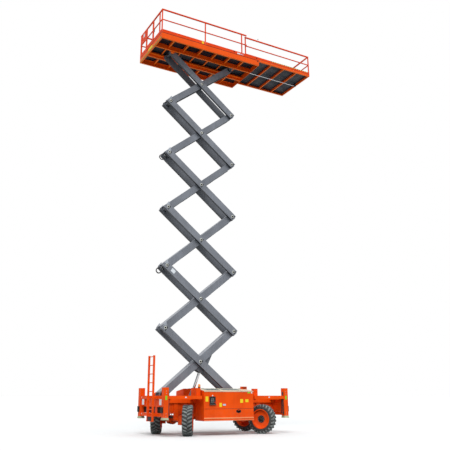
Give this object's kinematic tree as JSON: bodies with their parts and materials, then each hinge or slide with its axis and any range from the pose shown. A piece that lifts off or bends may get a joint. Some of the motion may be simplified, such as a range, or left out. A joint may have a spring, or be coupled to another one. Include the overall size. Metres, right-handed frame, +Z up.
{
  "type": "scissor lift",
  "caption": "Rough-terrain scissor lift with a raised scissor pack, roll-out deck, guard rails, corner outriggers, side pods and four steered wheels",
  "frame": {"origin": "On the floor, centred below the whole object's box, with the deck rolled out", "axes": "+Z up, +X from the ladder end to the roll-out end, -Y is the side with the ground controls"},
  "size_m": [7.548, 2.7636, 16.4255],
  "materials": {
    "orange_paint": "gloss",
    "arm_paint": "satin",
    "black_paint": "satin",
    "tyre_rubber": "matt, dusty",
    "rod_chrome": "polished",
    "foot_paint": "matt",
    "beacon_lens": "gloss",
    "deck_plate": "matt",
    "hose_rubber": "matt"
  },
  "bodies": {
    "chassis": {"chassis_frame": "orange_paint", "beacon": "beacon_lens", "bulkhead_left": "orange_paint", "bulkhead_right": "orange_paint", "pod_tray_near": "orange_paint", "pod_tray_far": "orange_paint", "engine_block": "black_paint", "ladder": "orange_paint", "axle_left": "orange_paint", "axle_right": "orange_paint"},
    "outrigger_left_near": {"outrigger_leg_left_near": "foot_paint"},
    "outrigger_left_far": {"outrigger_leg_left_far": "foot_paint"},
    "outrigger_right_near": {"outrigger_leg_right_near": "foot_paint"},
    "outrigger_right_far": {"outrigger_leg_right_far": "foot_paint"},
    "hood_near": {"pod_hood_near": "orange_paint", "control_panel": "black_paint"},
    "hood_far": {"pod_hood_far": "orange_paint"},
    "knuckle_left_near": {"knuckle_left_near": "orange_paint"},
    "wheel_left_near": {"rim_left_near": "orange_paint", "tyre_left_near": "tyre_rubber"},
    "knuckle_left_far": {"knuckle_left_far": "orange_paint"},
    "wheel_left_far": {"rim_left_far": "orange_paint", "tyre_left_far": "tyre_rubber"},
    "knuckle_right_near": {"knuckle_right_near": "orange_paint"},
    "wheel_right_near": {"rim_right_near": "orange_paint", "tyre_right_near": "tyre_rubber"},
    "knuckle_right_far": {"knuckle_right_far": "orange_paint"},
    "wheel_right_far": {"rim_right_far": "orange_paint", "tyre_right_far": "tyre_rubber"},
    "inner_arm_1": {"inner_arm_1": "arm_paint"},
    "outer_arms_1": {"outer_arms_1": "arm_paint"},
    "inner_arm_2": {"inner_arm_2": "arm_paint"},
    "outer_arms_2": {"outer_arms_2": "arm_paint"},
    "inner_arm_3": {"inner_arm_3": "arm_paint", "hose_loop_3": "hose_rubber"},
    "outer_arms_3": {"outer_arms_3": "arm_paint"},
    "inner_arm_4": {"inner_arm_4": "arm_paint"},
    "outer_arms_4": {"outer_arms_4": "arm_paint"},
    "inner_arm_5": {"inner_arm_5": "arm_paint", "hose_loop_5": "hose_rubber"},
    "outer_arms_5": {"outer_arms_5": "arm_paint"},
    "inner_arm_6": {"inner_arm_6": "arm_paint"},
    "outer_arms_6": {"outer_arms_6": "arm_paint"},
    "platform": {"platform_frame": "orange_paint", "platform_deck": "deck_plate", "guard_rail_near": "orange_paint", "guard_rail_far": "orange_paint", "guard_rail_end": "orange_paint"},
    "barrel": {"lift_barrel": "arm_paint"},
    "rod": {"lift_rod": "rod_chrome"},
    "gate": {"gate": "orange_paint"},
    "rollout": {"rollout_frame": "orange_paint", "rollout_deck": "deck_plate", "rollout_rails": "orange_paint"}
  },
  "joints": [
    {"name": "outrigger_left_near_slide", "type": "slide", "parent": "chassis", "child": "outrigger_left_near", "axis": [0, 0, -1], "range_m": [0, 0.55]},
    {"name": "outrigger_left_far_slide", "type": "slide", "parent": "chassis", "child": "outrigger_left_far", "axis": [0, 0, -1], "range_m": [0, 0.55]},
    {"name": "outrigger_right_near_slide", "type": "slide", "parent": "chassis", "child": "outrigger_right_near", "axis": [0, 0, -1], "range_m": [0, 0.55]},
    {"name": "outrigger_right_far_slide", "type": "slide", "parent": "chassis", "child": "outrigger_right_far", "axis": [0, 0, -1], "range_m": [0, 0.55]},
    {"name": "hood_near_hinge", "type": "hinge", "parent": "chassis", "child": "hood_near", "pos_m": [-0.74, -0.481, 1.5445], "axis": [-1, 0, 0], "range_deg": [0, 60]},
    {"name": "hood_far_hinge", "type": "hinge", "parent": "chassis", "child": "hood_far", "pos_m": [-0.74, 0.481, 1.5445], "axis": [1, 0, 0], "range_deg": [0, 60]},
    {"name": "steer_left_near", "type": "hinge", "parent": "chassis", "child": "knuckle_left_near", "pos_m": [-2.44, -0.759, 0.49878], "axis": [0, 0, 1], "range_deg": [-120, 0]},
    {"name": "spin_left_near", "type": "hinge", "parent": "knuckle_left_near", "child": "wheel_left_near", "pos_m": [-2.44, -0.759, 0.49878], "axis": [0.866, -0.5, 0], "continuous": true},
    {"name": "steer_left_far", "type": "hinge", "parent": "chassis", "child": "knuckle_left_far", "pos_m": [-2.44, 0.759, 0.49878], "axis": [0, 0, 1], "range_deg": [-120, 0]},
    {"name": "spin_left_far", "type": "hinge", "parent": "knuckle_left_far", "child": "wheel_left_far", "pos_m": [-2.44, 0.759, 0.49878], "axis": [-0.866, 0.5, 0], "continuous": true},
    {"name": "steer_right_near", "type": "hinge", "parent": "chassis", "child": "knuckle_right_near", "pos_m": [0.96, -0.759, 0.49878], "axis": [0, 0, 1], "range_deg": [-5, 115]},
    {"name": "spin_right_near", "type": "hinge", "parent": "knuckle_right_near", "child": "wheel_right_near", "pos_m": [0.96, -0.759, 0.49878], "axis": [-0.8192, -0.5736, 0], "continuous": true},
    {"name": "steer_right_far", "type": "hinge", "parent": "chassis", "child": "knuckle_right_far", "pos_m": [0.96, 0.759, 0.49878], "axis": [0, 0, 1], "range_deg": [-5, 115]},
    {"name": "spin_right_far", "type": "hinge", "parent": "knuckle_right_far", "child": "wheel_right_far", "pos_m": [0.96, 0.759, 0.49878], "axis": [0.8192, 0.5736, 0], "continuous": true},
    {"name": "lift", "type": "hinge", "parent": "chassis", "child": "inner_arm_1", "pos_m": [-2.89, 0, 1.33], "axis": [0, -1, 0], "range_deg": [-34, 0]},
    {"name": "centre_pin_1", "type": "hinge", "parent": "inner_arm_1", "child": "outer_arms_1", "pos_m": [-1.45, 0, 2.47543], "axis": [0, -1, 0], "range_deg": [-1, 69]},
    {"name": "end_pin_1", "type": "hinge", "parent": "outer_arms_1", "child": "inner_arm_2", "pos_m": [-2.89, 0, 3.62085], "axis": [0, -1, 0], "range_deg": [-69, 1]},
    {"name": "centre_pin_2", "type": "hinge", "parent": "inner_arm_2", "child": "outer_arms_2", "pos_m": [-1.45, 0, 4.76628], "axis": [0, -1, 0], "range_deg": [-1, 69]},
    {"name": "end_pin_2", "type": "hinge", "parent": "outer_arms_2", "child": "inner_arm_3", "pos_m": [-2.89, 0, 5.91171], "axis": [0, -1, 0], "range_deg": [-69, 1]},
    {"name": "centre_pin_3", "type": "hinge", "parent": "inner_arm_3", "child": "outer_arms_3", "pos_m": [-1.45, 0, 7.05713], "axis": [0, -1, 0], "range_deg": [-1, 69]},
    {"name": "end_pin_3", "type": "hinge", "parent": "outer_arms_3", "child": "inner_arm_4", "pos_m": [-2.89, 0, 8.20256], "axis": [0, -1, 0], "range_deg": [-69, 1]},
    {"name": "centre_pin_4", "type": "hinge", "parent": "inner_arm_4", "child": "outer_arms_4", "pos_m": [-1.45, 0, 9.34799], "axis": [0, -1, 0], "range_deg": [-1, 69]},
    {"name": "end_pin_4", "type": "hinge", "parent": "outer_arms_4", "child": "inner_arm_5", "pos_m": [-2.89, 0, 10.49342], "axis": [0, -1, 0], "range_deg": [-69, 1]},
    {"name": "centre_pin_5", "type": "hinge", "parent": "inner_arm_5", "child": "outer_arms_5", "pos_m": [-1.45, 0, 11.63884], "axis": [0, -1, 0], "range_deg": [-1, 69]},
    {"name": "end_pin_5", "type": "hinge", "parent": "outer_arms_5", "child": "inner_arm_6", "pos_m": [-2.89, 0, 12.78427], "axis": [0, -1, 0], "range_deg": [-69, 1]},
    {"name": "centre_pin_6", "type": "hinge", "parent": "inner_arm_6", "child": "outer_arms_6", "pos_m": [-1.45, 0, 13.9297], "axis": [0, -1, 0], "range_deg": [-1, 69]},
    {"name": "platform_pin", "type": "hinge", "parent": "outer_arms_6", "child": "platform", "pos_m": [-2.89, 0, 15.07512], "axis": [0, -1, 0], "range_deg": [-35, 1]},
    {"name": "barrel_swing", "type": "hinge", "parent": "chassis", "child": "barrel", "pos_m": [-1.92, 0, 0.68], "axis": [0, -1, 0], "range_deg": [-38, 0.5]},
    {"name": "rod_slide", "type": "slide", "parent": "barrel", "child": "rod", "axis": [0.3649, 0, 0.9311], "range_m": [-0.68, 0.005]},
    {"name": "gate_hinge", "type": "hinge", "parent": "platform", "child": "gate", "pos_m": [-3.723, 0.498, 15.8955], "axis": [0, 0, 1], "range_deg": [0, 90]},
    {"name": "rollout_slide", "type": "slide", "parent": "platform", "child": "rollout", "axis": [1, 0, 0], "range_m": [-2.84, 0]}
  ],
  "couplings": [
    {"joint": "steer_left_far", "follows": "steer_left_near", "ratio": 1},
    {"joint": "steer_right_far", "follows": "steer_right_near", "ratio": 1},
    {"joint": "centre_pin_1", "follows": "lift", "ratio": -2},
    {"joint": "end_pin_1", "follows": "lift", "ratio": 2},
    {"joint": "centre_pin_2", "follows": "lift", "ratio": -2},
    {"joint": "end_pin_2", "follows": "lift", "ratio": 2},
    {"joint": "centre_pin_3", "follows": "lift", "ratio": -2},
    {"joint": "end_pin_3", "follows": "lift", "ratio": 2},
    {"joint": "centre_pin_4", "follows": "lift", "ratio": -2},
    {"joint": "end_pin_4", "follows": "lift", "ratio": 2},
    {"joint": "centre_pin_5", "follows": "lift", "ratio": -2},
    {"joint": "end_pin_5", "follows": "lift", "ratio": 2},
    {"joint": "centre_pin_6", "follows": "lift", "ratio": -2},
    {"joint": "platform_pin", "follows": "lift", "ratio": 1},
    {"joint": "barrel_swing", "follows": "lift", "ratio": 1.1},
    {"joint": "rod_slide", "follows": "lift", "m_per_rad": 1.1433}
  ]
}
